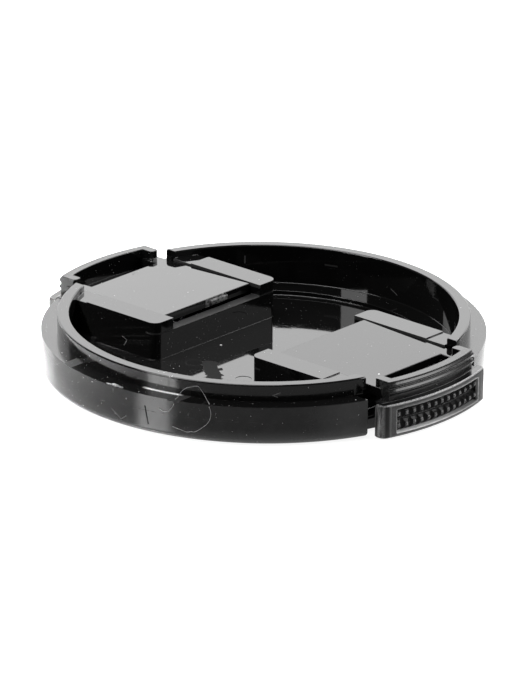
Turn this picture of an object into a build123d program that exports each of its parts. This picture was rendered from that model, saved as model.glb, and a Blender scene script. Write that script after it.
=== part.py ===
"""Clip-on lens cap with two sprung pinch tabs, lying front face down with its inside up."""

import os
from math import asin, degrees, sqrt

from build123d import *

# Ring, skirt and front disc, in millimetres
ring_diameter = 44.5
ring_wall = 1.3
ring_height = 1.85
ledge_width = 1.75
skirt_height = 4.2
skirt_round = 0.6
rim_bevel = 0.12
disc_thickness = 1.2
shoulder_width = 2.55
shoulder_height = 0.5
pin_mark_diameter = 1.8
pin_mark_depth = 0.04
pin_mark_x = 3.56
pin_mark_y = -7.2

# Travel and clearances of the tabs
travel = 2.3
side_clearance = 0.1
slide_clearance = 0.12
cutout_clearance = 0.3
stop_clearance = 0.2
foot_clearance = 0.2
leg_clearance = 0.1

# Threaded arc of a tab
arc_projection = 1.39
arc_wall = 0.98
arc_width = 13.44
arc_drop = 0.1
post_width = 1.1
post_length = 2.0
post_bevel = 0.2
thread_pitch = 0.75
thread_depth = 0.22
thread_flank = 0.22
thread_crest = 0.08
first_ridge_drop = 0.46

# Tongue of a tab
tongue_width = 13.7
tongue_length = 12.29
tongue_thickness = 1.0
tongue_drop = 0.97
tongue_rise = 0.28
slit_width = 3.1
slit_length = 10.4
flange_reach = 0.7
flange_thickness = 0.5
flange_setback = 2.5
flange_length = 9.0
leg_thickness = 1.05
leg_width = 10.0
gate_width = 2.6
gate_height = 0.5
gate_length = 0.3
gate_offset = 1.8

# Grip of a tab
grip_projection = 1.65
grip_wall = 1.05
grip_width = 16.6
grip_drop = 0.44
grip_lift = 0.05
grip_corner = 1.0
grip_edge = 0.2
root_setback = 2.2
root_overlap = 0.3
root_height = 1.0
root_width = 15.0
window_width = 13.1
window_bottom_lip = 0.5
window_top_lip = 0.68
window_depth = 0.6
stud_columns = 13
stud_rows = 2
stud_height = 0.45
stud_tip = 0.14
stud_gap = 0.06
stud_sink = 0.05

# Housings in the body
rail_width = 2.85
rail_drop = 0.6
rail_step_drop = 0.12
rail_step_setback = 3.95
rail_corner = 1.0
inner_wall = 1.25
inner_wall_reach = 1.41
ring_gap = 0.6

# Coil springs
spring_diameter = 2.0
wire_diameter = 0.35
spring_turns = 4
wire_sides = 4
spring_gap = 0.03
spring_lift = 0.1
spring_pin_diameter = 1.1
spring_pin_length = 1.2

# Radii and levels that follow
ring_radius = ring_diameter / 2
ring_bore = ring_radius - ring_wall
skirt_radius = ring_radius + ledge_width
shoulder_radius = ring_bore - shoulder_width
cap_height = skirt_height + ring_height
shoulder_top = disc_thickness + shoulder_height
rail_top = cap_height - rail_drop
tongue_top = cap_height - tongue_drop
tongue_bottom = tongue_top - tongue_thickness
arc_top = cap_height - arc_drop
arc_bore = ring_radius + arc_projection
arc_radius = arc_bore + arc_wall
grip_radius = skirt_radius + grip_projection
grip_top = skirt_height - grip_drop
grip_bore = grip_radius - grip_wall
root_start = grip_bore - root_setback
root_bottom = grip_top - root_height
disc_edge_radius = grip_bore - travel - stop_clearance

# Stations along +X, from the arc inwards
slit_start = arc_bore - slit_width
post_start = arc_bore - post_length
tongue_start = slit_start - tongue_length
housing_start = tongue_start - inner_wall_reach
pocket_start = housing_start + inner_wall
leg_end = sqrt(shoulder_radius**2 - (leg_width / 2) ** 2) - leg_clearance
leg_start = leg_end - leg_thickness
notch_start = root_start - travel - stop_clearance
rail_step = ring_bore - rail_step_setback
tongue_slope = tongue_rise / tongue_length
wall_top = tongue_bottom + tongue_slope * (slit_start - pocket_start - travel) - slide_clearance

# Half widths across Y
tongue_half = tongue_width / 2
rail_inner = tongue_half + side_clearance
rail_outer = rail_inner + rail_width
flange_half = tongue_half + flange_reach
arc_half = arc_width / 2
ring_cut_half = arc_half + ring_gap
grip_half = grip_width / 2
skirt_cut_half = grip_half + cutout_clearance

spring_height = disc_thickness + spring_lift + spring_diameter / 2
beyond = grip_radius + 2

along_x = (Align.MIN, Align.CENTER)


def level(z):
    return Plane.XY.offset(z)


# Cap body: disc, skirt, ring and the two tab housings in one moulding
with BuildPart() as cap_body:
    with BuildSketch(Plane.XZ) as section:
        with BuildLine():
            Polyline(
                (0, 0),
                (skirt_radius, 0),
                (skirt_radius, skirt_height),
                (ring_radius, skirt_height),
                (ring_radius, cap_height),
                (ring_bore, cap_height),
                (ring_bore, shoulder_top),
                (shoulder_radius, shoulder_top),
                (shoulder_radius, disc_thickness),
                (0, disc_thickness),
                close=True,
            )
        make_face()
        outer_corners = section.vertices().group_by(Axis.X)[-1].sort_by(Axis.Y)
        fillet(outer_corners[0], radius=skirt_round)
        ring_corners = section.vertices().group_by(Axis.Y)[-1]
        chamfer(ring_corners, length=rim_bevel)
    revolve(axis=Axis.Z)

    # Rails beside each tongue, rounded at their inner ends and a fine step lower at their outer ends
    for length, top in ((beyond, rail_top - rail_step_drop), (rail_step - housing_start, rail_top)):
        with BuildSketch(level(disc_thickness)) as rails:
            with PolarLocations(0, 2):
                with Locations((housing_start, 0)):
                    Rectangle(length, 2 * rail_outer, align=along_x)
            inner_ends = rails.vertices().filter_by(lambda v: abs(v.X) < housing_start + rail_corner)
            fillet(inner_ends, radius=rail_corner)
            with PolarLocations(0, 2):
                with Locations((housing_start, 0)):
                    Rectangle(length, 2 * rail_inner, align=along_x, mode=Mode.SUBTRACT)
            Circle(ring_bore + ring_wall / 2, mode=Mode.INTERSECT)
        extrude(amount=top - disc_thickness)

    # Inner wall of each housing, low enough for the tongue to slide over it
    with BuildSketch(level(disc_thickness)):
        with PolarLocations(0, 2):
            with Locations((housing_start, 0)):
                Rectangle(inner_wall, 2 * rail_inner, align=along_x)
    extrude(amount=wall_top - disc_thickness)

    # Grooves in the rails for the flanges of the tongue
    groove_start = tongue_start + flange_setback - travel - stop_clearance
    with BuildSketch(level(tongue_bottom - slide_clearance)):
        with PolarLocations(0, 2):
            with Locations((groove_start, 0)):
                Rectangle(beyond, 2 * (flange_half + side_clearance), align=along_x)
        Circle(ring_radius, mode=Mode.INTERSECT)
    extrude(amount=flange_thickness + 2 * slide_clearance, mode=Mode.SUBTRACT)

    # Cut-outs of the skirt, the disc and the ring for the tabs
    with BuildSketch(level(disc_thickness)):
        with PolarLocations(0, 2):
            with Locations((notch_start, 0)):
                Rectangle(beyond, 2 * skirt_cut_half, align=along_x)
    extrude(amount=skirt_height - disc_thickness, mode=Mode.SUBTRACT)
    with BuildSketch(level(0)):
        with PolarLocations(0, 2):
            Rectangle(beyond, 2 * skirt_cut_half, align=along_x)
        Circle(disc_edge_radius, mode=Mode.SUBTRACT)
    extrude(amount=disc_thickness, mode=Mode.SUBTRACT)
    ring_cut_start = sqrt(ring_bore**2 - ring_cut_half**2)
    with BuildSketch(level(shoulder_top)):
        with PolarLocations(0, 2):
            with Locations((ring_cut_start, 0)):
                Rectangle(beyond, 2 * ring_cut_half, align=along_x)
    extrude(amount=cap_height - shoulder_top, mode=Mode.SUBTRACT)

    # Marks of two ejector pins on the floor
    with BuildSketch(level(disc_thickness)):
        with PolarLocations(0, 2):
            with Locations((pin_mark_x, pin_mark_y)):
                Circle(pin_mark_diameter / 2)
    extrude(amount=-pin_mark_depth, mode=Mode.SUBTRACT)

    # Pins that centre the springs on the inner walls
    for side in (1, -1):
        with BuildSketch(Plane((side * pocket_start, 0, spring_height), z_dir=(side, 0, 0))):
            Circle(spring_pin_diameter / 2)
        extrude(amount=spring_pin_length)

# Pinch tab at +X: grip, threaded arc and tongue in one moulding
with BuildPart() as tab_right:
    # Grip, a curved plate with rounded ends
    with BuildSketch(level(grip_lift)):
        Circle(grip_radius)
        Circle(grip_bore, mode=Mode.SUBTRACT)
        Rectangle(beyond, grip_width, align=along_x, mode=Mode.INTERSECT)
    extrude(amount=grip_top - grip_lift)
    end_edges = edges().filter_by(Axis.Z).group_by(Axis.X)[-1]
    fillet(end_edges, radius=grip_corner)
    front_face = faces().filter_by(GeomType.CYLINDER).sort_by(Axis.X)[-1]
    chamfer(front_face.edges().filter_by(GeomType.CIRCLE), length=grip_edge)

    # Window in the grip, a recess of even depth
    window_height = grip_top - grip_lift - window_top_lip - window_bottom_lip
    with BuildSketch(level(grip_lift + window_bottom_lip)):
        Circle(grip_radius + 1)
        Circle(grip_radius - window_depth, mode=Mode.SUBTRACT)
        Rectangle(beyond, window_width, align=along_x, mode=Mode.INTERSECT)
    extrude(amount=window_height, mode=Mode.SUBTRACT)

    # Studs on the floor of the window, blunt pyramids in two rows
    stud_floor = grip_radius - window_depth
    stud_width = window_width / stud_columns - stud_gap
    row_pitch = window_height / stud_rows
    stud_rise = row_pitch - stud_gap
    stud_planes = []
    for column in range(stud_columns):
        y = (column - (stud_columns - 1) / 2) * window_width / stud_columns
        x = sqrt((stud_floor - stud_sink) ** 2 - y**2)
        for row in range(stud_rows):
            z = grip_lift + window_bottom_lip + (row + 0.5) * row_pitch
            stud_planes.append(Plane((x, y, z), x_dir=(y, -x, 0)))
    with Locations(*stud_planes):
        Wedge(
            stud_width,
            stud_height + stud_sink,
            stud_rise,
            (stud_width - stud_tip) / 2,
            (stud_rise - stud_tip) / 2,
            (stud_width + stud_tip) / 2,
            (stud_rise + stud_tip) / 2,
            align=(Align.CENTER, Align.MIN, Align.CENTER),
        )

    # Root that carries the arc and the posts on the grip
    with BuildSketch(level(root_bottom)):
        with Locations((root_start, 0)):
            Rectangle(beyond, root_width, align=along_x)
        Circle(grip_bore + root_overlap, mode=Mode.INTERSECT)
    extrude(amount=root_height)

    # Arc with two thread ridges
    arc_angle = degrees(asin(arc_half / arc_radius))
    with BuildSketch(Plane.XZ.rotated((0, 0, -arc_angle))):
        with BuildLine():
            ridge_levels = [arc_top - first_ridge_drop - i * thread_pitch for i in range(2)]
            ridge_points = []
            for z in ridge_levels:
                ridge_points.append((arc_radius, z + thread_crest + thread_flank))
                ridge_points.append((arc_radius + thread_depth, z + thread_crest))
                ridge_points.append((arc_radius + thread_depth, z - thread_crest))
                ridge_points.append((arc_radius, z - thread_crest - thread_flank))
            Polyline(
                (arc_bore, root_bottom),
                (arc_bore, arc_top),
                (arc_radius, arc_top),
                *ridge_points,
                (arc_radius, root_bottom),
                close=True,
            )
        make_face()
    revolve(axis=Axis.Z, revolution_arc=2 * arc_angle)

    # Posts that join the arc to the tongue
    with BuildSketch(level(root_bottom)) as posts:
        with Locations((post_start, 0)):
            Rectangle(beyond, arc_width, align=along_x)
            Rectangle(beyond, arc_width - 2 * post_width, align=along_x, mode=Mode.SUBTRACT)
        chamfer(posts.vertices().group_by(Axis.X)[0], length=post_bevel)
        Circle(arc_radius, mode=Mode.INTERSECT)
    extrude(amount=arc_top - root_bottom)

    # Tongue, notched behind the arc and rising a little towards its inner end
    tongue_plane = Plane(
        (slit_start, 0, tongue_bottom), x_dir=(1, 0, -tongue_slope), z_dir=(tongue_slope, 0, 1)
    )
    with BuildSketch(tongue_plane):
        with Locations((-tongue_length, 0)):
            Rectangle(post_start + post_width - tongue_start, tongue_width, align=along_x)
        Rectangle(beyond, slit_length, align=along_x, mode=Mode.SUBTRACT)
    extrude(amount=tongue_thickness)

    # Flanges that run in the grooves of the rails
    with BuildSketch(level(tongue_bottom)):
        with Locations((tongue_start + flange_setback, 0)):
            Rectangle(flange_length, 2 * flange_half, align=along_x)
    extrude(amount=flange_thickness)

    # Leg under the tongue that takes the spring, and its pin
    with BuildSketch(level(disc_thickness + foot_clearance)):
        with Locations((leg_start, 0)):
            Rectangle(leg_thickness, leg_width, align=along_x)
    extrude(amount=tongue_bottom + tongue_thickness / 2 - disc_thickness - foot_clearance)
    with BuildSketch(Plane((leg_start, 0, spring_height), z_dir=(-1, 0, 0))):
        Circle(spring_pin_diameter / 2)
    extrude(amount=spring_pin_length)

    # Gate stub on the inner end of the tongue
    with BuildSketch(tongue_plane.offset((tongue_thickness - gate_height) / 2)):
        with Locations((-tongue_length - gate_length, -gate_offset)):
            Rectangle(2 * gate_length, gate_width, align=along_x)
    extrude(amount=gate_height)

# The tab at -X is the same moulding turned half round
with BuildPart() as tab_left:
    add(tab_right.part, rotation=(0, 0, 180))

# Coil spring between the inner wall and the leg of each tab
coil_radius = (spring_diameter - wire_diameter) / 2
coil_length = leg_start - pocket_start - wire_diameter - 2 * spring_gap
with BuildPart() as spring_right:
    with BuildLine() as coil:
        Helix(
            pitch=coil_length / spring_turns,
            height=coil_length,
            radius=coil_radius,
            center=(pocket_start + spring_gap + wire_diameter / 2, 0, spring_height),
            direction=(1, 0, 0),
        )
    with BuildSketch(Plane(coil.line @ 0, z_dir=coil.line % 0)):
        RegularPolygon(wire_diameter / 2, wire_sides)
    sweep(path=coil.line, is_frenet=True)

with BuildPart() as spring_left:
    add(spring_right.part, rotation=(0, 0, 180))

os.makedirs("parts", exist_ok=True)
pieces = {
    "cap_body": cap_body,
    "tab_right": tab_right,
    "tab_left": tab_left,
    "spring_right": spring_right,
    "spring_left": spring_left,
}
for name, piece in pieces.items():
    piece.part.label = name
    export_step(piece.part, f"parts/{name}.step")
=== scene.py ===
"""Looks of the lens cap: moulded plastic, marks of use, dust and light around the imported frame."""

import math

import bmesh
import bpy
import numpy as np
from mathutils import Matrix, Vector, noise
from mathutils.bvhtree import BVHTree
from mathutils.kdtree import KDTree


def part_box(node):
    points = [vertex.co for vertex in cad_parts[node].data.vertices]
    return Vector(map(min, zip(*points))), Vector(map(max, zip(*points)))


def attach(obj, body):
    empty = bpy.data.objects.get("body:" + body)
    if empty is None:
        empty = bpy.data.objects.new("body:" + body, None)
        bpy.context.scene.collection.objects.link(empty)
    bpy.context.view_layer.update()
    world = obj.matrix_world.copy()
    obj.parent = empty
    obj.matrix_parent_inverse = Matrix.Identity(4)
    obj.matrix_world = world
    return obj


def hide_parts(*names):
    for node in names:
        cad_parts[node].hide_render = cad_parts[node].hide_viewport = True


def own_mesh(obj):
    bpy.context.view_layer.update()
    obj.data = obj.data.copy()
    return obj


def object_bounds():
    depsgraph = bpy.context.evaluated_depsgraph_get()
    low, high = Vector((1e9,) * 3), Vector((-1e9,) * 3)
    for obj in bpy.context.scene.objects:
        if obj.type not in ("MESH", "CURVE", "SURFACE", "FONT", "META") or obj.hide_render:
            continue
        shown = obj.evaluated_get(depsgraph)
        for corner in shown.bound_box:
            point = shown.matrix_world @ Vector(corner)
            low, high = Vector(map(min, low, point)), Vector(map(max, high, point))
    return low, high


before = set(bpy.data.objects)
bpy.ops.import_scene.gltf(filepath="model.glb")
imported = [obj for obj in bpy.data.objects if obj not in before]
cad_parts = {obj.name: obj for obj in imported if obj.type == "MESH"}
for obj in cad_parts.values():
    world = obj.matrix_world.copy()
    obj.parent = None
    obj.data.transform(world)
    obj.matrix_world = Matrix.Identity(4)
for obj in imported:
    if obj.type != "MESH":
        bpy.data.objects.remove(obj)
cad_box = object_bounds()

MM = 0.001

# Sizes of the CAD model that the finishes follow, in millimetres
skirt_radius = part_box("cap_body")[1].y / MM
ring_radius = 22.25
ring_bore = 20.95
ledge_level = 4.2
floor_level = 1.2
box_wall = 6.84
box_side = 9.8
box_top = 4.19
rail_face = 6.95
rail_top = 5.45
pin_mark = (3.56, 7.2)
pin_mark_radius = 0.9
tongue_end = 8.26
arc_bore = 23.64
grip_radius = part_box("tab_right")[1].x / MM
grip_bore = 24.6
grip_top = 3.76
window_half = 6.55
window_low = 0.55
window_high = 3.08
window_floor = 25.05

# How far a zone of finish reaches past its surface, and its narrower margins, in millimetres
zone_reach = 0.1
zone_edge = 0.04
zone_fine = 0.02

# Level from which the side of a rail is dull, in millimetres
rail_dull_level = 5.0

# Plastic: shade, roughness and shine of each zone
plastic_ior = 1.5
plastic_specular = 0.5
gloss_base = 0.004
gloss_roughness = 0.04
skirt_base = 0.008
skirt_roughness = 0.15
ring_roughness = 0.24
ledge_roughness = 0.18
wall_top_base = 0.015
wall_top_roughness = 0.62
rail_base = 0.04
rail_roughness = 0.4
arc_base = 0.012
arc_roughness = 0.22
grip_base = 0.065
grip_roughness = 0.3
stud_roughness = 0.06
stud_specular = 0.1
grain_strength = 0.3
grain_depth = 0.01 * MM

# Steel of the springs
steel_shade = 0.55
steel_roughness = (0.2, 0.35)
steel_grain = 4000.0

# Patterns: what most of a noise lies between, and where it turns into patches, from nothing to full
noise_range = (0.3, 0.7)
patch_range = (0.35, 0.6)
sparse_range = (0.4, 0.6)
tip_range = (0.35, 0.55)
gate_range = (0.35, 0.65)
film_range = (0.45, 0.8)
wall_range = (0.5, 0.75)
streak_range = (0.4, 0.62)

# How much a noise changes a shade or a roughness, as shares of it
skirt_shares = (0.7, 1.3)
haze_shares = (0.8, 1.2)
ring_shares = (0.6, 1.6)
arc_shares = (0.5, 1.5)
grip_shares = (0.7, 1.3)
streak_shares = (0.4, 2.6)

# How streaks squeeze a noise along each axis
ring_streaks = (0.35, 7.0)
wall_streaks = (1.0, 4.0)
grip_streaks = (5.0, 5.0, 0.4)

# Dust: cells in a millimetre, the largest speck as a share of a cell, and how rare large specks are
fine_dust = (5.0, 0.14, 6.0)
loose_dust = (1.5, 0.1, 5.0)
outside_dust = (2.0, 0.15, 3.0)
outside_top = 5.9
dust_shade = 0.3
settled_shade = 0.45
dust_roughness = 0.6
film_roughness = 0.05

# How far a surface faces up where dust thins out, where it is pale, and where it counts as flat
settled_range = (0.2, 0.8)
settled_shares = (0.7, 1.0)
pale_range = (0.5, 0.9)
flat_range = (0.8, 0.95)

# Soft ends of a stroke and of a spot, as shares of their half widths
stroke_ends = (1.3, 0.6)
spot_ends = (1.2, 0.7)

# Scuffs on the inner walls of the housings, as specks, and their wear
wall_scuffs = ((2.2, 0.2, 4.0), (0.9, 0.08, 2.0))
wall_scuff_shade = 0.2
wall_scuff_share = 0.35
wall_wear_shade = 0.03
wall_wear_share = 0.5

# Painted reflection of the white floor, paler towards the foot of the skirt, from and to up it, and painted
# light towards its right end, from and to along it
painted_foot_reflection = (0.95, 0.1)
painted_foot_shade = 0.12
painted_right_light = (21.0, 27.0)
painted_right_shade = 0.03

# Marks on the skirt, as places along it and up it in millimetres, and half widths
dark_scratch = ((4.42, 2.95), (4.82, 1.05), 0.08)
light_scratches = (
    ((0.0, 1.6), (1.3, 0.78), 0.05),
    ((1.3, 0.78), (2.0, 1.3), 0.05),
    ((0.15, 4.05), (0.2, 3.6), 0.06),
    ((-1.6, 2.1), (-1.1, 2.2), 0.05),
    ((9.45, 2.8), (9.5, 3.0), 0.07),
)
skirt_line = 2.52
line_soft = 0.03

# Light marks on the side of the left housing and on the inside of the ring, along X and up
hook_marks = (((-11.73, 2.87), (-11.0, 2.6), 0.05), ((-11.0, 2.6), (-11.43, 1.91), 0.05))
ring_ticks = (((-15.47, 3.96), (-15.47, 4.78), 0.05), ((-0.03, 2.98), (0.87, 2.51), 0.05))

# Light mark on the outside of the ring, along the skirt and up
ring_marks = (((18.56, 4.93), (19.39, 5.2), 0.05), ((18.56, 4.93), (19.1, 4.72), 0.05))

# Painted highlight: a pale line along the foot of the ring, from and to along the skirt, outwards and up
ring_foot_highlight = (3.2, 7.9)
ring_foot_highlight_soft = 0.5
ring_foot_highlight_radii = (ring_radius - 0.05, ring_radius + 0.15)
ring_foot_highlight_levels = (ledge_level - 0.02, ledge_level + 0.12)

# Smear on the floor, specks and smudge, along X and Y
smear = ((-2.15, -6.17), (1.21, -9.17))
smear_reach = 0.9
smear_ragged = 0.25
floor_speck = (-5.08, -1.23)
tongue_speck = (19.8, -3.87)
tongue_smudge = (-19.8, 1.05)
speck_radius = 0.12
smudge_radius = 0.5

# Rough patch where the gate was cut, from and to across the tongue, its foot and its shades
gate_patch = (-0.25, 2.95)
gate_foot = 4.2
gate_shades = (0.02, 0.22)

# Shade and roughness of the marks
scratch_shade = 0.035
tick_shade = 0.1
nick_shade = 0.3
faint_shade = 0.08
faint_share = 0.4
# Pale shade of the painted highlight at the foot of the ring, and of the speck on the floor
highlight_and_speck_shade = 1.0
dark_shade = 0.001
speck_shade = 0.9
mark_roughness = 0.5
gate_roughness = 0.6
smudge_roughness = 0.35

# Grip: streaked ends, painted shade in its corners and painted highlights on its bends, from and to across
# it
streaked_end = (7.9, 8.2)
corner_band = (7.55, 7.95)
corner_soft = 0.08
painted_corner_shade = 0.004
bend_band = (7.3, 7.42)
bend_soft = 0.05
bend_top = 3.7

# Painted highlights on the edges of the grip: its rim, the sill and jambs of its window and the tips of its
# studs
rim_radius = 25.38
rim_level = 3.62
sill_band = (0.44, 0.6)
sill_fade = (5.0, -3.0)
sill_shares = (0.25, 1.0)
sill_highlight_shade = 0.9
jamb_band = (6.5, 6.66)
jamb_start = 25.2
tip_band = (25.34, 25.4)
highlight_soft = 0.03
highlight_shade = 0.5
rim_highlight = 0.8
bend_highlight = 0.2
tip_highlight = 0.6

# White floor: light of its own towards the camera, and towards reflections close to the cap
floor_size = 6.0
floor_drop = 0.02 * MM
floor_shade = 0.45
floor_ior = 5.0
floor_roughness = 0.12
floor_glow = 0.85
floor_mirror_glow = 0.9
far_glow = 0.05
glow_inner = 24.5 * MM
glow_outer = 28.5 * MM
side_glow = 0.6
side_inner = 20.0 * MM
side_outer = 23.0 * MM
world_glow = 0.1

# Lights: azimuth and elevation in degrees, width and height in metres, radiance
light_distance = 0.6
softboxes = {
    "softbox_back": (221.7, 24.0, 1.0, 0.4, 2.52),
    "softbox_right": (152.0, 38.0, 0.8, 0.2, 6.0),
    "lamp_top": (-48.3, 72.0, 0.14, 0.5, 11.0),
    "fill_right": (138.0, 20.0, 0.3, 0.1, 1.3),
    "lamp_left": (-15.3, 21.0, 0.172, 0.09, 12.0),
}
spot_left = (-50.0, 60.0, 0.05, 0.05, 64.0)
spot_aim_azimuth = -52.0
spot_aim_reach = 0.082
spot_spread = 10.0

# Rounding of the moulded edges: widths, shares of the room beside an edge, and limits
round_width = 0.16 * MM
fine_width = 0.09 * MM
foot_width = 0.02 * MM
round_share = 0.3
stud_share = 0.42
blunt_share = 0.3
round_tries = 12
soft_tries = 6
crossed_limit = 0.03 * MM * MM
stray_limit = 0.06 * MM
sharp_angle = math.radians(28)
straight_angle = math.radians(150)
flat_angle = math.radians(0.2)
weld = 1e-7

# Where the rounding changes, in millimetres: foot of the housings, notches, grip and studs
foot_limit = (7.0, 10.0, 1.3)
notch_band = (8.4, 8.8)
grip_level = 3.8
grip_inside = 24.4
grip_foot = 0.3
stud_half = 6.5
stud_radius = 25.5
stud_levels = (0.6, 3.0)

# Fibre that lies on the skirt and the ring, by the pixels that it passes
fibre_pixels = (
    (159.6, 407.8), (162.6, 411.5), (168.0, 411.8), (173.4, 406.5), (178.0, 397.8),
    (180.0, 393.0), (185.4, 387.7), (195.5, 386.0), (199.0, 386.0), (206.2, 397.5),
    (210.0, 406.2), (211.5, 415.0), (208.7, 423.1), (198.7, 430.0), (194.4, 432.1),
    (191.2, 431.2), (187.5, 432.2), (180.6, 429.4), (172.5, 426.2),
)
fibre_radius = 0.026 * MM
fibre_lift = 0.06 * MM

# Crumb of plastic on the edge of the ledge: centre and half sizes of its lumps, in millimetres
crumb_lumps = (
    ((0.25, -23.74, 4.22), (0.5, 0.2, 0.15)),
    ((-0.5, -23.82, 4.2), (0.42, 0.09, 0.07)),
    ((1.0, -23.74, 4.22), (0.34, 0.15, 0.1)),
)
crumb_swell = 0.6
crumb_scale = 2.6

# Springs
wire_radius = 0.175 * MM
wire_steps = 28
wire_sides = 12
spring_turns = 4

# Camera, fitted to the circles and straight edges of the photograph
view_azimuth = math.radians(41.74)
view_elevation = math.radians(20.68)
view_roll = math.radians(0.548)
view_distance = 791.5 * MM
view_shift_right = 0.61 * MM
view_shift_up = -2.14 * MM
focal_pixels = 7337.0
image_width = 516
image_height = 688
sensor_size = 36.0
clip_near = 0.05
clip_far = 10.0

right = Vector((math.cos(view_azimuth), math.sin(view_azimuth), 0))
back = Vector(
    (
        math.sin(view_azimuth) * math.cos(view_elevation),
        -math.cos(view_azimuth) * math.cos(view_elevation),
        math.sin(view_elevation),
    )
)
up = back.cross(right)


def make_camera():
    data = bpy.data.cameras.new("camera")
    data.sensor_width = sensor_size
    data.lens = focal_pixels * sensor_size / image_height
    data.clip_start = clip_near
    data.clip_end = clip_far
    camera = bpy.data.objects.new("camera", data)
    bpy.context.scene.collection.objects.link(camera)
    turn = Matrix((right, up, back)).transposed().to_4x4()
    place = back * view_distance - right * view_shift_right - up * view_shift_up
    camera.matrix_world = Matrix.Translation(place) @ turn @ Matrix.Rotation(view_roll, 4, "Z")
    bpy.context.scene.camera = camera


class Nodes:
    """Short calls for building a node tree."""

    def __init__(self, tree):
        self.tree = tree
        tree.nodes.clear()

    def add(self, kind, inputs=None, **settings):
        node = self.tree.nodes.new(kind)
        for name, value in settings.items():
            setattr(node, name, value)
        for key, value in (inputs or {}).items():
            if isinstance(value, bpy.types.NodeSocket):
                self.tree.links.new(value, node.inputs[key])
            else:
                node.inputs[key].default_value = value
        return node

    def principled(self, inputs):
        shader = self.add("ShaderNodeBsdfPrincipled", inputs)
        self.add("ShaderNodeOutputMaterial", {"Surface": shader.outputs[0]})

    def math(self, operation, a, b=0.0, clamp=False):
        node = self.add("ShaderNodeMath", {0: a, 1: b}, operation=operation, use_clamp=clamp)
        return node.outputs[0]

    def plus(self, a, b, clamp=False):
        return self.math("ADD", a, b, clamp)

    def both(self, first, *others):
        """Product of masks and shares."""
        for other in others:
            first = self.math("MULTIPLY", first, other)
        return first

    def either(self, first, *others):
        """Greatest of masks."""
        for other in others:
            first = self.math("MAXIMUM", first, other)
        return first

    def less(self, first, *others):
        """The first mask without the others."""
        for other in others:
            first = self.math("SUBTRACT", first, other, clamp=True)
        return first

    def ramp(self, value, low, high, out_low=0.0, out_high=1.0):
        inputs = {"Value": value, 1: low, 2: high, 3: out_low, 4: out_high}
        return self.add("ShaderNodeMapRange", inputs, interpolation_type="SMOOTHSTEP").outputs[0]

    def above(self, value, level, soft=zone_reach):
        """Nothing up to a level, and one from a little above it."""
        return self.ramp(value, level, level + soft)

    def below(self, value, level, soft=zone_reach):
        """Nothing down to a level, and one from a little below it."""
        return self.ramp(value, level, level - soft)

    def band(self, value, low, high, soft=zone_edge):
        """One between low and high, nothing outside."""
        rise = self.ramp(value, low - soft, low + soft)
        return self.both(rise, self.ramp(value, high + soft, high - soft))

    def near(self, value, level):
        """One close to a level, nothing further off."""
        return self.band(value, level - zone_reach, level + zone_reach)

    def vary(self, pattern, low, high, middle=1.0):
        """From low to high with a noise, as shares of the middle."""
        return self.ramp(pattern, *noise_range, low * middle, high * middle)

    def blend(self, mask, under, over):
        """Under where the mask is nothing, over where it is one."""
        return self.add("ShaderNodeMix", {"Factor": mask, 2: under, 3: over}, data_type="FLOAT").outputs[0]

    def vector(self, x, y, z=0.0):
        return self.add("ShaderNodeCombineXYZ", {"X": x, "Y": y, "Z": z}).outputs[0]

    def length(self, vector):
        return self.add("ShaderNodeVectorMath", {0: vector}, operation="LENGTH").outputs["Value"]

    def noise(self, vector, scale, detail=2.0, roughness=0.5):
        inputs = {"Vector": vector, "Scale": scale, "Detail": detail, "Roughness": roughness}
        return self.add("ShaderNodeTexNoise", inputs).outputs["Fac"]

    def specks(self, vector, scale, size, rarity):
        """Round specks of random size, mostly small, one in each cell of a Voronoi pattern."""
        cells = self.add("ShaderNodeTexVoronoi", {"Vector": vector, "Scale": scale})
        shade = self.add("ShaderNodeSeparateColor", {"Color": cells.outputs["Color"]})
        reach = self.both(self.math("POWER", shade.outputs[0], rarity), size)
        return self.math("GREATER_THAN", reach, cells.outputs["Distance"])

    def offset(self, u, v, centre):
        return self.math("SUBTRACT", u, centre[0]), self.math("SUBTRACT", v, centre[1])

    def away(self, u, v, centre):
        """How far a point is from a centre."""
        return self.length(self.vector(*self.offset(u, v, centre)))

    def reach(self, u, v, start, end):
        """How far a point is from a straight stroke."""
        du = end[0] - start[0]
        dv = end[1] - start[1]
        square = du * du + dv * dv
        pu, pv = self.offset(u, v, start)
        along = self.plus(self.both(pu, du / square), self.both(pv, dv / square), clamp=True)
        return self.length(
            self.vector(
                self.math("SUBTRACT", pu, self.both(along, du)),
                self.math("SUBTRACT", pv, self.both(along, dv)),
            )
        )

    def stroke(self, u, v, start, end, width):
        return self.ramp(self.reach(u, v, start, end), *[share * width for share in stroke_ends])

    def strokes(self, u, v, marks):
        return self.either(*[self.stroke(u, v, *mark) for mark in marks])

    def spot(self, u, v, centre, size):
        return self.ramp(self.away(u, v, centre), *[share * size for share in spot_ends])


class Place:
    """Where a shaded point lies on the cap, in millimetres, and how far its surface faces up."""

    def __init__(self, n):
        metres = n.add("ShaderNodeTexCoord").outputs["Object"]
        self.mm = n.add("ShaderNodeVectorMath", {0: metres, "Scale": 1 / MM}, operation="SCALE").outputs[0]
        axes = n.add("ShaderNodeSeparateXYZ", {0: self.mm}).outputs
        self.x, self.y, self.z = axes["X"], axes["Y"], axes["Z"]
        self.radius = n.length(n.vector(self.x, self.y))
        turn = n.math("ARCTAN2", self.x, n.both(self.y, -1.0))
        self.around = n.both(turn, skirt_radius)
        self.side_x = n.math("ABSOLUTE", self.x)
        self.side_y = n.math("ABSOLUTE", self.y)
        normal = n.add("ShaderNodeNewGeometry").outputs["Normal"]
        self.up = n.add("ShaderNodeSeparateXYZ", {0: normal}).outputs["Z"]
        self.flat = n.ramp(self.up, *flat_range)


def grey(value):
    return (value, value, value, 1.0)


def new_material(name):
    material = bpy.data.materials.new(name)
    material.use_nodes = True
    return material, Nodes(material.node_tree)


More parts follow.
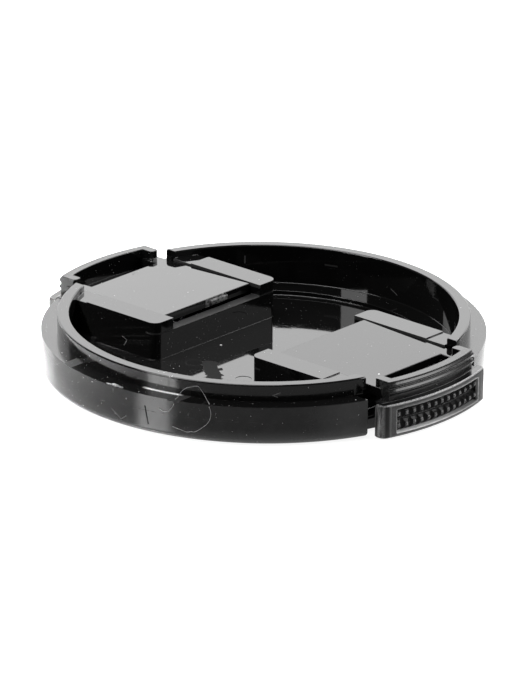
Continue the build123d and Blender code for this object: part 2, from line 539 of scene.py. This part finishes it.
def dust_specks(n, at):
    """Specks of three kinds: fine in patches, loose ones, and more outside; most on what faces up."""
    settled = n.ramp(at.up, *settled_range, *settled_shares)
    patchy = n.ramp(n.noise(at.mm, scale=0.3), *patch_range)
    fine = n.both(n.specks(at.mm, *fine_dust), patchy)
    outside = n.both(
        n.specks(at.mm, *outside_dust),
        n.band(at.radius, ring_radius - zone_edge, skirt_radius + zone_reach),
        n.below(at.z, outside_top, 2 * zone_reach),
    )
    return n.both(n.either(n.specks(at.mm, *loose_dust), fine, outside), settled)


def moulded_plastic(name, finish):
    """Black moulded plastic under dust. Finish gives its shade, roughness, shine and grain."""
    material, n = new_material(name)
    at = Place(n)
    shade, roughness, specular, grain = finish(n, at)
    speck = dust_specks(n, at)
    film = n.ramp(n.noise(at.mm, scale=0.6, detail=5.0, roughness=0.7), *film_range)
    roughness = n.plus(roughness, n.both(film, film_roughness))
    dust = n.ramp(at.up, *pale_range, dust_shade, settled_shade)
    bump = n.add(
        "ShaderNodeBump", {"Strength": grain_strength, "Distance": grain_depth, "Height": grain}
    )
    n.principled(
        {
            "Base Color": n.blend(speck, shade, dust),
            "Roughness": n.either(n.both(speck, dust_roughness), roughness),
            "IOR": plastic_ior,
            "Specular IOR Level": specular,
            "Normal": bump.outputs[0],
        }
    )
    return material


class BodyZones:
    """Masks of the parts of the body that differ in finish or bear marks."""

    def __init__(self, n, at):
        on_foot = n.above(at.z, floor_level)
        outside = n.above(at.radius, ring_radius - zone_fine, 2 * zone_fine)
        self.skirt = n.both(
            n.above(at.radius, skirt_radius - 2 * zone_reach),
            n.below(at.z, ledge_level - zone_edge),
        )
        self.ring = n.both(outside, n.above(at.z, ledge_level + zone_fine))
        self.ledge = n.both(
            n.band(at.radius, ring_radius + zone_reach, skirt_radius - zone_reach),
            n.near(at.z, ledge_level),
        )
        self.bore = n.both(n.near(at.radius, ring_bore), n.above(at.y, 0.0))
        self.floor = n.near(at.z, floor_level)
        self.wall = n.both(n.near(at.side_x, box_wall), n.below(at.z, box_top - zone_edge), on_foot)
        self.wall_top = n.both(n.band(at.side_x, box_wall, tongue_end), n.near(at.z, box_top))
        self.rail = n.both(
            n.near(at.side_y, rail_face),
            n.above(at.z, rail_dull_level),
            n.below(at.z, rail_top, zone_edge),
        )
        self.housing_side = n.both(n.near(at.y, -box_side), on_foot)


def body_surface(n, at, zone, haze):
    """Shade and roughness of the clean body: hazy skirt with a painted reflection at its foot and painted
    light at its right end, streaked ring, dull tops of the inner walls.
    """
    along, up_ring = ring_streaks
    streaks = n.noise(n.vector(n.both(at.around, along), n.both(at.z, up_ring)), scale=1.0, detail=3.0)
    # Painted reflection and painted light: the skirt is paler towards its foot and towards its right end
    foot = n.math("POWER", n.ramp(at.z, *painted_foot_reflection), 2.0)
    painted_light = n.plus(n.both(foot, painted_foot_shade), n.ramp(at.around, *painted_right_light, 0.0, painted_right_shade))
    shade = n.blend(zone.skirt, gloss_base, n.vary(haze, *skirt_shares, skirt_base))
    shade = n.plus(shade, n.both(zone.skirt, painted_light))
    shade = n.blend(zone.wall_top, shade, wall_top_base)
    shade = n.blend(zone.rail, shade, rail_base)
    roughness = n.blend(zone.skirt, gloss_roughness, n.vary(haze, *haze_shares, skirt_roughness))
    roughness = n.blend(zone.ring, roughness, n.vary(streaks, *ring_shares, ring_roughness))
    roughness = n.blend(zone.ledge, roughness, ledge_roughness)
    roughness = n.blend(zone.wall_top, roughness, wall_top_roughness)
    return shade, n.blend(zone.rail, roughness, rail_roughness)


def scuffed_walls(n, at, zone, shade):
    """Scuffs and wear on the inner walls of the housings."""
    across, up_wall = wall_streaks
    pattern = n.vector(n.both(at.y, across), n.both(at.z, up_wall))
    worn = n.ramp(n.noise(pattern, scale=1.2, detail=5.0, roughness=0.7), *wall_range)
    scuff = n.either(*[n.specks(at.mm, *scuffs) for scuffs in wall_scuffs])
    shade = n.blend(n.both(zone.wall, scuff, wall_scuff_share), shade, wall_scuff_shade)
    return n.blend(n.both(zone.wall, worn, wall_wear_share), shade, wall_wear_shade)


def body_marks(n, at, zone, haze, shade, roughness):
    """Scratches, ticks, a painted highlight along the foot of the ring, and what lies on the floor."""
    groove = n.both(zone.skirt, n.stroke(at.around, at.z, *dark_scratch))
    light = n.both(zone.skirt, n.strokes(at.around, at.z, light_scratches))
    line = n.band(at.z, skirt_line - zone_fine, skirt_line + zone_fine, line_soft)
    line = n.both(zone.skirt, line, n.ramp(haze, *sparse_range))
    hook = n.both(zone.housing_side, n.strokes(at.x, at.z, hook_marks))
    tick = n.both(zone.bore, n.strokes(at.x, at.z, ring_ticks))
    nick = n.both(zone.ring, n.strokes(at.around, at.z, ring_marks))
    # Painted highlight: a pale line along the foot of the ring
    painted_highlight = n.both(
        n.band(at.around, *ring_foot_highlight, ring_foot_highlight_soft),
        n.band(at.radius, *ring_foot_highlight_radii),
        n.band(at.z, *ring_foot_highlight_levels),
    )
    uneven = n.vary(n.noise(at.mm, scale=1.3, detail=3.0), -smear_ragged, smear_ragged)
    ragged = n.plus(n.reach(at.x, at.y, *smear), uneven)
    dirt = n.both(zone.floor, n.ramp(ragged, smear_reach + zone_edge, smear_reach - zone_edge))
    crumb = n.both(zone.floor, n.spot(at.x, at.y, floor_speck, speck_radius))
    from_pin = n.away(at.side_x, at.side_y, pin_mark)
    pin_ring = n.band(from_pin, pin_mark_radius - zone_edge, pin_mark_radius + zone_edge, line_soft)
    pin_ring = n.both(zone.floor, pin_ring, n.ramp(haze, *patch_range))
    faint = n.both(n.either(n.both(line, faint_share), pin_ring), faint_share)

    shade = n.blend(light, shade, scratch_shade)
    shade = n.blend(n.either(hook, tick), shade, tick_shade)
    shade = n.blend(nick, shade, nick_shade)
    shade = n.blend(faint, shade, faint_shade)
    shade = n.blend(n.either(painted_highlight, crumb), shade, highlight_and_speck_shade)
    shade = n.blend(n.either(groove, dirt), shade, dark_shade)
    marked = n.both(n.either(painted_highlight, hook, tick, light), mark_roughness)
    return shade, n.either(roughness, groove, dirt, marked)


def body_finish(n, at):
    """Glossy inside; hazy, streaked and scratched outside, with marks of use."""
    zone = BodyZones(n, at)
    haze = n.noise(at.mm, scale=0.9, detail=4.0, roughness=0.65)
    shade, roughness = body_surface(n, at, zone, haze)
    shade = scuffed_walls(n, at, zone, shade)
    shade, roughness = body_marks(n, at, zone, haze, shade, roughness)
    grain = n.both(zone.skirt, n.noise(at.mm, scale=6.0, detail=3.0))
    return shade, roughness, plastic_specular, grain


class TabZones:
    """Masks of the parts of a tab that differ in finish."""

    def __init__(self, n, at):
        arc = n.above(at.radius, arc_bore + zone_edge)
        top = n.both(n.above(at.radius, grip_bore + zone_reach), n.near(at.z, grip_top), at.flat)
        self.outer = n.above(at.radius, grip_bore - zone_reach)
        self.window = n.both(
            n.below(at.side_y, window_half + zone_reach / 2),
            n.below(at.radius, grip_radius - zone_reach / 2),
            n.band(at.z, window_low + zone_fine, window_high, zone_fine),
        )
        grip = n.both(self.outer, n.below(at.z, grip_top + zone_edge, zone_edge))
        self.satin = n.less(arc, top)
        self.dull = n.less(grip, self.window, top)


def tab_surface(n, at, zone, grit):
    """Shade and roughness of a clean tab, with upright streaks on the ends of the grip and painted shade in
    its corners.
    """
    squeezed = [n.both(axis, share) for axis, share in zip((at.x, at.y, at.z), grip_streaks)]
    streaks = n.noise(n.vector(*squeezed), scale=1.0, detail=3.0)
    streaks = n.ramp(streaks, *streak_range, *streak_shares)
    grip_shade = n.vary(grit, *grip_shares, grip_base)
    grip_shade = n.blend(n.ramp(at.side_y, *streaked_end), grip_shade, n.both(grip_shade, streaks))
    # Painted shade on the rounded corners between the ends and the front of the grip
    grip_shade = n.blend(n.band(at.side_y, *corner_band, corner_soft), grip_shade, painted_corner_shade)
    shade = n.blend(zone.satin, gloss_base, n.vary(grit, *arc_shares, arc_base))
    shade = n.blend(zone.dull, shade, grip_shade)
    roughness = n.blend(zone.satin, gloss_roughness, arc_roughness)
    roughness = n.blend(zone.dull, roughness, grip_roughness)
    return shade, n.blend(zone.window, roughness, stud_roughness)


def painted_grip_highlights(n, at, zone, grit, shade):
    """Painted highlights along the rim and the bends of the grip, round its window and on the tips of the
    studs.
    """
    rim = n.both(
        n.above(at.radius, rim_radius, zone_edge),
        n.above(at.z, rim_level, zone_edge),
        n.ramp(grit, *patch_range),
    )
    bend = n.both(zone.outer, n.band(at.side_y, *bend_band, bend_soft), n.below(at.z, bend_top))
    jamb = n.both(
        n.band(at.side_y, *jamb_band, highlight_soft),
        n.above(at.radius, jamb_start),
        n.band(at.z, window_low - zone_edge, window_high + zone_fine),
    )
    tips = n.both(zone.window, n.ramp(at.radius, *tip_band), n.ramp(grit, *tip_range))
    sill = n.both(
        n.band(at.z, *sill_band, highlight_soft),
        n.above(at.radius, window_floor - zone_reach / 2),
        n.below(at.side_y, window_half + zone_reach),
        n.ramp(at.y, *sill_fade, *sill_shares),
    )
    # Pale lines painted as highlights on the edges
    edge_highlight = n.either(n.both(rim, rim_highlight), jamb, n.both(bend, bend_highlight), n.both(tips, tip_highlight))
    return n.blend(sill, n.blend(edge_highlight, shade, highlight_shade), sill_highlight_shade)


def tongue_marks(n, at, shade, roughness):
    """Rough gate patch on the inner end of the tongue, and a smudge and a speck on its top."""
    coarse = n.noise(at.mm, scale=3.0, detail=3.0, roughness=0.6)
    turned = n.both(at.y, n.math("SIGN", at.x), -1.0)
    gate = n.both(
        n.below(at.side_x, tongue_end + zone_edge + zone_fine, zone_edge),
        n.above(at.z, gate_foot),
        n.band(turned, *gate_patch, zone_reach),
    )
    smudge = n.spot(at.x, at.y, tongue_smudge, smudge_radius)
    smudge = n.both(at.flat, smudge, n.ramp(coarse, *sparse_range))
    speck = n.both(at.flat, n.spot(at.x, at.y, tongue_speck, speck_radius))
    shade = n.blend(gate, shade, n.ramp(coarse, *gate_range, *gate_shades))
    shade = n.blend(speck, shade, speck_shade)
    return shade, n.either(roughness, n.both(gate, gate_roughness), n.both(smudge, smudge_roughness))


def tab_finish(n, at):
    """Glossy tongue, satin arc, and a duller grip with painted highlights on its edges round its window of
    studs, and painted shade in its corners.
    """
    zone = TabZones(n, at)
    grit = n.noise(at.mm, scale=9.0, detail=3.0, roughness=0.6)
    shade, roughness = tab_surface(n, at, zone, grit)
    # Painted highlights on the edges of the grip
    shade = painted_grip_highlights(n, at, zone, grit, shade)
    shade, roughness = tongue_marks(n, at, shade, roughness)
    specular = n.blend(zone.window, plastic_specular, stud_specular)
    return shade, roughness, specular, n.both(zone.satin, grit)


def steel(name):
    material, n = new_material(name)
    place = n.add("ShaderNodeTexCoord").outputs["Object"]
    roughness = n.vary(n.noise(place, scale=steel_grain), *steel_roughness)
    n.principled({"Base Color": grey(steel_shade), "Metallic": 1.0, "Roughness": roughness})
    return material


def pale_scrap(name, low, high, scale, roughness):
    """Pale uneven finish of a fibre or a crumb."""
    material, n = new_material(name)
    shade = n.vary(n.noise(Place(n).mm, scale, detail=3.0), low, high)
    n.principled({"Base Color": shade, "Roughness": roughness, "IOR": plastic_ior})
    return material


def new_piece(name, mesh, body, material):
    mesh.materials.clear()
    mesh.materials.append(material)
    piece = bpy.data.objects.new(name, mesh)
    bpy.context.scene.collection.objects.link(piece)
    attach(piece, body)
    return piece


def gap_across(edge, face):
    """How much of a face lies beside one of its edges: the most that its rounding could take."""
    ends = set(edge.verts)
    line = edge.verts[1].co - edge.verts[0].co
    gap = 2 * face.calc_area() / line.length
    others = [e for e in face.edges if not ends & set(e.verts)]
    if others:
        middle = np.array((edge.verts[0].co + edge.verts[1].co) / 2)
        a = np.array([e.verts[0].co for e in others])
        b = np.array([e.verts[1].co for e in others])
        d = b - a
        share = np.clip(((middle - a) * d).sum(1) / (d * d).sum(1), 0, 1)
        gap = float(np.linalg.norm(a + share[:, None] * d - middle, axis=1).min())
    for neighbour in face.edges:
        shared = ends & set(neighbour.verts)
        if neighbour is edge or not shared:
            continue
        corner = shared.pop()
        side = neighbour.other_vert(corner).co - corner.co
        turn = side.angle(edge.other_vert(corner).co - corner.co)
        if turn < straight_angle:
            gap = min(gap, side.length * math.sin(turn))
    return gap


def body_rounding(point):
    """Widest rounding of a body edge, and its share of the room: finest round housings and notches."""
    x, y, z = (abs(place) / MM for place in point)
    at_foot = x < foot_limit[0] and y < foot_limit[1] and z < foot_limit[2]
    at_notch = notch_band[0] < y < notch_band[1] and z < grip_level
    return (foot_width if at_foot or at_notch else fine_width), round_share


def tab_rounding(point):
    """Widest rounding of a tab edge, and its share of the room: wider on the grip and its studs."""
    out = Vector((point.x, point.y)).length / MM
    y = abs(point.y) / MM
    z = point.z / MM
    if z > grip_level:
        return fine_width, round_share
    if out < grip_inside or z < grip_foot:
        return foot_width, round_share
    at_studs = y < stud_half and out < stud_radius and stud_levels[0] < z < stud_levels[1]
    return round_width, (stud_share if at_studs else round_share)


def weigh_edges(shape, weight, rounding):
    """Rounding width of each sharp edge, as a share of the widest."""
    for edge in shape.edges:
        if len(edge.link_faces) == 2 and edge.calc_face_angle() > sharp_angle:
            middle = (edge.verts[0].co + edge.verts[1].co) / 2
            room = min(gap_across(edge, face) for face in edge.link_faces)
            widest, share = rounding(middle)
            edge[weight] = min(widest, share * room) / round_width


def blunt(shape, weight, strays, share):
    """Rounds less at the corners nearest to points that the rounding threw off the surface."""
    corners = [v for v in shape.verts if any(e[weight] > 0 for e in v.link_edges)]
    tree = KDTree(len(corners))
    for number, corner in enumerate(corners):
        tree.insert(corner.co, number)
    tree.balance()
    for number in {tree.find(stray)[1] for stray in strays}:
        for edge in corners[number].link_edges:
            edge[weight] *= share


def astray(mesh, surface):
    """Points off the CAD surface, and the corners of faces whose outline crosses itself."""
    points = [v.co for v in mesh.vertices if surface.find_nearest(v.co)[3] > stray_limit]
    mesh.calc_loop_triangles()
    extra = [-face.area for face in mesh.polygons]
    for triangle in mesh.loop_triangles:
        extra[triangle.polygon_index] += triangle.area
    for face in mesh.polygons:
        if extra[face.index] > crossed_limit:
            points += [mesh.vertices[number].co for number in face.vertices]
    return points


def whole_faces(node):
    """A CAD node's mesh with each flat face in one piece, shaded smooth."""
    shape = bmesh.new()
    shape.from_mesh(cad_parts[node].data)
    bmesh.ops.remove_doubles(shape, verts=shape.verts[:], dist=weld)
    bmesh.ops.dissolve_limit(shape, angle_limit=flat_angle, verts=shape.verts[:], edges=shape.edges[:])
    for face in shape.faces:
        face.smooth = True
    return shape


def add_rounding(piece):
    """Modifiers that round the weighted edges and keep flat faces flat in the shading."""
    bevel = piece.modifiers.new("round", "BEVEL")
    bevel.limit_method = "WEIGHT"
    bevel.width = round_width
    bevel.segments = 2
    bevel.use_clamp_overlap = False
    bevel.loop_slide = False
    shade = piece.modifiers.new("shade", "WEIGHTED_NORMAL")
    shade.mode = "FACE_AREA"


def rounded_mesh(piece, shape):
    """Mesh that the piece's modifiers make of a shape."""
    shape.to_mesh(piece.data)
    for extra in ("custom_normal", "sharp_edge", "sharp_face"):
        if extra in piece.data.attributes:
            piece.data.attributes.remove(piece.data.attributes[extra])
    piece.data.update()
    piece.update_tag()
    graph = bpy.context.evaluated_depsgraph_get()
    return bpy.data.meshes.new_from_object(piece.evaluated_get(graph))


def rounded(node, body, material, rounding):
    """A copy of a CAD node with its sharp edges finely rounded, which stands for the node."""
    shape = whole_faces(node)
    surface = BVHTree.FromBMesh(shape)
    weight = shape.edges.layers.float.new("bevel_weight_edge")
    weigh_edges(shape, weight, rounding)
    name = node + "_moulding"
    piece = new_piece(name, bpy.data.meshes.new(name), body, material)
    add_rounding(piece)
    for number in range(round_tries):
        mesh = rounded_mesh(piece, shape)
        strays = astray(mesh, surface)
        if not strays:
            break
        blunt(shape, weight, strays, blunt_share if number < soft_tries else 0.0)
    shape.free()
    piece.modifiers.clear()
    piece.data = mesh
    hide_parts(node)
    return piece


def wire_mesh(name, low, high):
    """Round wire in a helix along X that fills a box."""
    middle = (low + high) / 2
    length = high.x - low.x - 2 * wire_radius
    coil = (high.y - low.y) / 2 - wire_radius
    full_turn = 2 * math.pi
    advance = Vector((length / (full_turn * spring_turns), 0, 0))
    steps = wire_steps * spring_turns
    shape = bmesh.new()
    rings = []
    for step in range(steps + 1):
        share = step / steps
        turn = full_turn * spring_turns * share
        out = Vector((0, math.cos(turn), math.sin(turn)))
        along = advance + coil * Vector((0, -out.z, out.y))
        across = along.normalized().cross(out)
        centre = Vector((low.x + wire_radius + length * share, middle.y, middle.z)) + out * coil
        ring = []
        for side in range(wire_sides):
            a = full_turn * side / wire_sides
            ring.append(shape.verts.new(centre + wire_radius * (math.cos(a) * out + math.sin(a) * across)))
        rings.append(ring)
    for first, second in zip(rings, rings[1:]):
        for side in range(wire_sides):
            after = (side + 1) % wire_sides
            shape.faces.new((first[side], first[after], second[after], second[side]))
    shape.faces.new(rings[0])
    shape.faces.new(rings[-1])
    bmesh.ops.recalc_face_normals(shape, faces=shape.faces[:])
    for face in shape.faces:
        face.smooth = len(face.verts) == 4
    mesh = bpy.data.meshes.new(name)
    shape.to_mesh(mesh)
    shape.free()
    return mesh


def make_spring(node, material):
    """A spring's wire that fills the box of its CAD node and stands in for it."""
    low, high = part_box(node)
    name = node + "_wire"
    piece = new_piece(name, wire_mesh(name, low, high), "cap", material)
    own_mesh(piece)
    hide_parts(node)


def curve_mesh(points, kind, thickness=0.0):
    """Mesh of a line through or along points: a bare path, or a tube of that thickness."""
    curve = bpy.data.curves.new("line", "CURVE")
    curve.dimensions = "3D"
    spline = curve.splines.new(kind)
    spline.points.add(len(points) - 1)
    for place, point in zip(spline.points, points):
        place.co = (*point, 1.0)
    if kind == "NURBS":
        spline.order_u = 3
        spline.use_endpoint_u = True
    spline.resolution_u = 8
    curve.bevel_depth = thickness
    curve.bevel_resolution = 1
    curve.use_fill_caps = True
    holder = bpy.data.objects.new("line", curve)
    mesh = bpy.data.meshes.new_from_object(holder)
    bpy.data.objects.remove(holder)
    return mesh


def make_fibre(carrier, material):
    """A fine fibre laid on the cap where the camera sees it, just clear of the surface."""
    camera = bpy.context.scene.camera.matrix_world
    surface = BVHTree.FromPolygons(
        [v.co for v in carrier.data.vertices], [f.vertices for f in carrier.data.polygons]
    )
    points = []
    for px, py in fibre_pixels:
        ray = Vector((px - image_width / 2, image_height / 2 - py, -focal_pixels))
        at, normal, _, _ = surface.ray_cast(camera.translation, camera.to_3x3() @ ray.normalized())
        points.append(at + normal * fibre_lift)
    path = [v.co.copy() for v in curve_mesh(points, "NURBS").vertices]
    for number, point in enumerate(path):
        at, normal, _, _ = surface.find_nearest(point)
        if (point - at).dot(normal) < fibre_lift:
            path[number] = at + normal * fibre_lift
    new_piece("lint_fibre", curve_mesh(path, "POLY", fibre_radius), "cap", material)


def make_crumb(material):
    """A crumb of plastic torn up from the edge of the ledge, kept inside the skirt's radius."""
    shape = bmesh.new()
    for centre, half in crumb_lumps:
        lump = bmesh.ops.create_icosphere(shape, subdivisions=3, radius=1.0)["verts"]
        for v in lump:
            swell = 1 + crumb_swell * noise.noise(v.co * crumb_scale + Vector(centre))
            place = Vector(centre) + Vector([a * b * swell for a, b in zip(v.co, half)])
            limit = skirt_radius / Vector((place.x, place.y)).length
            v.co = Vector((place.x * min(1, limit), place.y * min(1, limit), place.z)) * MM
    for face in shape.faces:
        face.smooth = True
    mesh = bpy.data.meshes.new("crumb")
    shape.to_mesh(mesh)
    shape.free()
    new_piece("edge_crumb", mesh, "cap", material)


def floor_light(n):
    """Light of the floor's own: white to the camera, and to reflections close to the cap."""
    path = n.add("ShaderNodeLightPath").outputs
    mirrored = n.either(path["Is Glossy Ray"], path["Is Transmission Ray"])
    place = n.add("ShaderNodeTexCoord").outputs["Object"]
    across = n.add("ShaderNodeSeparateXYZ", {0: place}).outputs["X"]
    near = n.both(
        n.ramp(n.length(place), glow_inner, glow_outer, floor_mirror_glow, far_glow),
        n.ramp(n.math("ABSOLUTE", across), side_inner, side_outer, 1.0, side_glow),
    )
    return n.plus(n.both(path["Is Camera Ray"], floor_glow), n.both(mirrored, near))


def make_floor():
    mesh = bpy.data.meshes.new("floor")
    signs = ((-1, -1), (1, -1), (1, 1), (-1, 1))
    corners = [(x * floor_size, y * floor_size, 0) for x, y in signs]
    mesh.from_pydata(corners, [], [(0, 1, 2, 3)])
    floor = bpy.data.objects.new("floor", mesh)
    floor.location.z = cad_box[0].z - floor_drop
    bpy.context.scene.collection.objects.link(floor)
    material, n = new_material("floor")
    n.principled(
        {
            "Base Color": grey(floor_shade),
            "IOR": floor_ior,
            "Roughness": floor_roughness,
            "Emission Color": grey(1.0),
            "Emission Strength": floor_light(n),
        }
    )
    mesh.materials.append(material)


def make_world():
    world = bpy.data.worlds.new("studio")
    bpy.context.scene.world = world
    world.use_nodes = True
    n = Nodes(world.node_tree)
    seen = n.add("ShaderNodeLightPath").outputs["Is Camera Ray"]
    strength = n.ramp(seen, 0.0, 1.0, world_glow, 1.0)
    shade = n.add("ShaderNodeBackground", {"Color": grey(1.0), "Strength": strength})
    n.add("ShaderNodeOutputWorld", {"Surface": shade.outputs[0]})


def bearing(azimuth, elevation):
    """Direction from the cap, measured as the camera's is."""
    a = math.radians(azimuth)
    e = math.radians(elevation)
    return Vector((math.sin(a) * math.cos(e), -math.cos(a) * math.cos(e), math.sin(e)))


def softbox(name, azimuth, elevation, width, height, radiance, aim=Vector(), spread=180.0):
    """A rectangular light at a bearing from the cap, turned towards a point on the floor."""
    data = bpy.data.lights.new(name, "AREA")
    data.shape = "RECTANGLE"
    data.size = width
    data.size_y = height
    data.energy = radiance * math.pi * width * height
    data.spread = math.radians(spread)
    light = bpy.data.objects.new(name, data)
    light.location = bearing(azimuth, elevation) * light_distance
    light.rotation_mode = "QUATERNION"
    light.rotation_quaternion = (light.location - aim).to_track_quat("Z", "Y")
    bpy.context.scene.collection.objects.link(light)


make_camera()
body_plastic = moulded_plastic("body_plastic_gloss", body_finish)
tab_plastic = moulded_plastic("tab_plastic_gloss", tab_finish)
spring_steel = steel("spring_steel_wire")
body = rounded("cap_body", "cap", body_plastic, body_rounding)
rounded("tab_right", "right_tab", tab_plastic, tab_rounding)
rounded("tab_left", "left_tab", tab_plastic, tab_rounding)
make_spring("spring_right", spring_steel)
make_spring("spring_left", spring_steel)
make_fibre(body, pale_scrap("lint", low=0.3, high=0.5, scale=2.0, roughness=0.6))
make_crumb(pale_scrap("torn_plastic", low=0.0, high=0.65, scale=8.0, roughness=0.25))
make_floor()
make_world()
for name, settings in softboxes.items():
    softbox(name, *settings)
softbox("spot_left", *spot_left, bearing(spot_aim_azimuth, 0.0) * spot_aim_reach, spot_spread)

bpy.context.scene.view_settings.view_transform = "Standard"
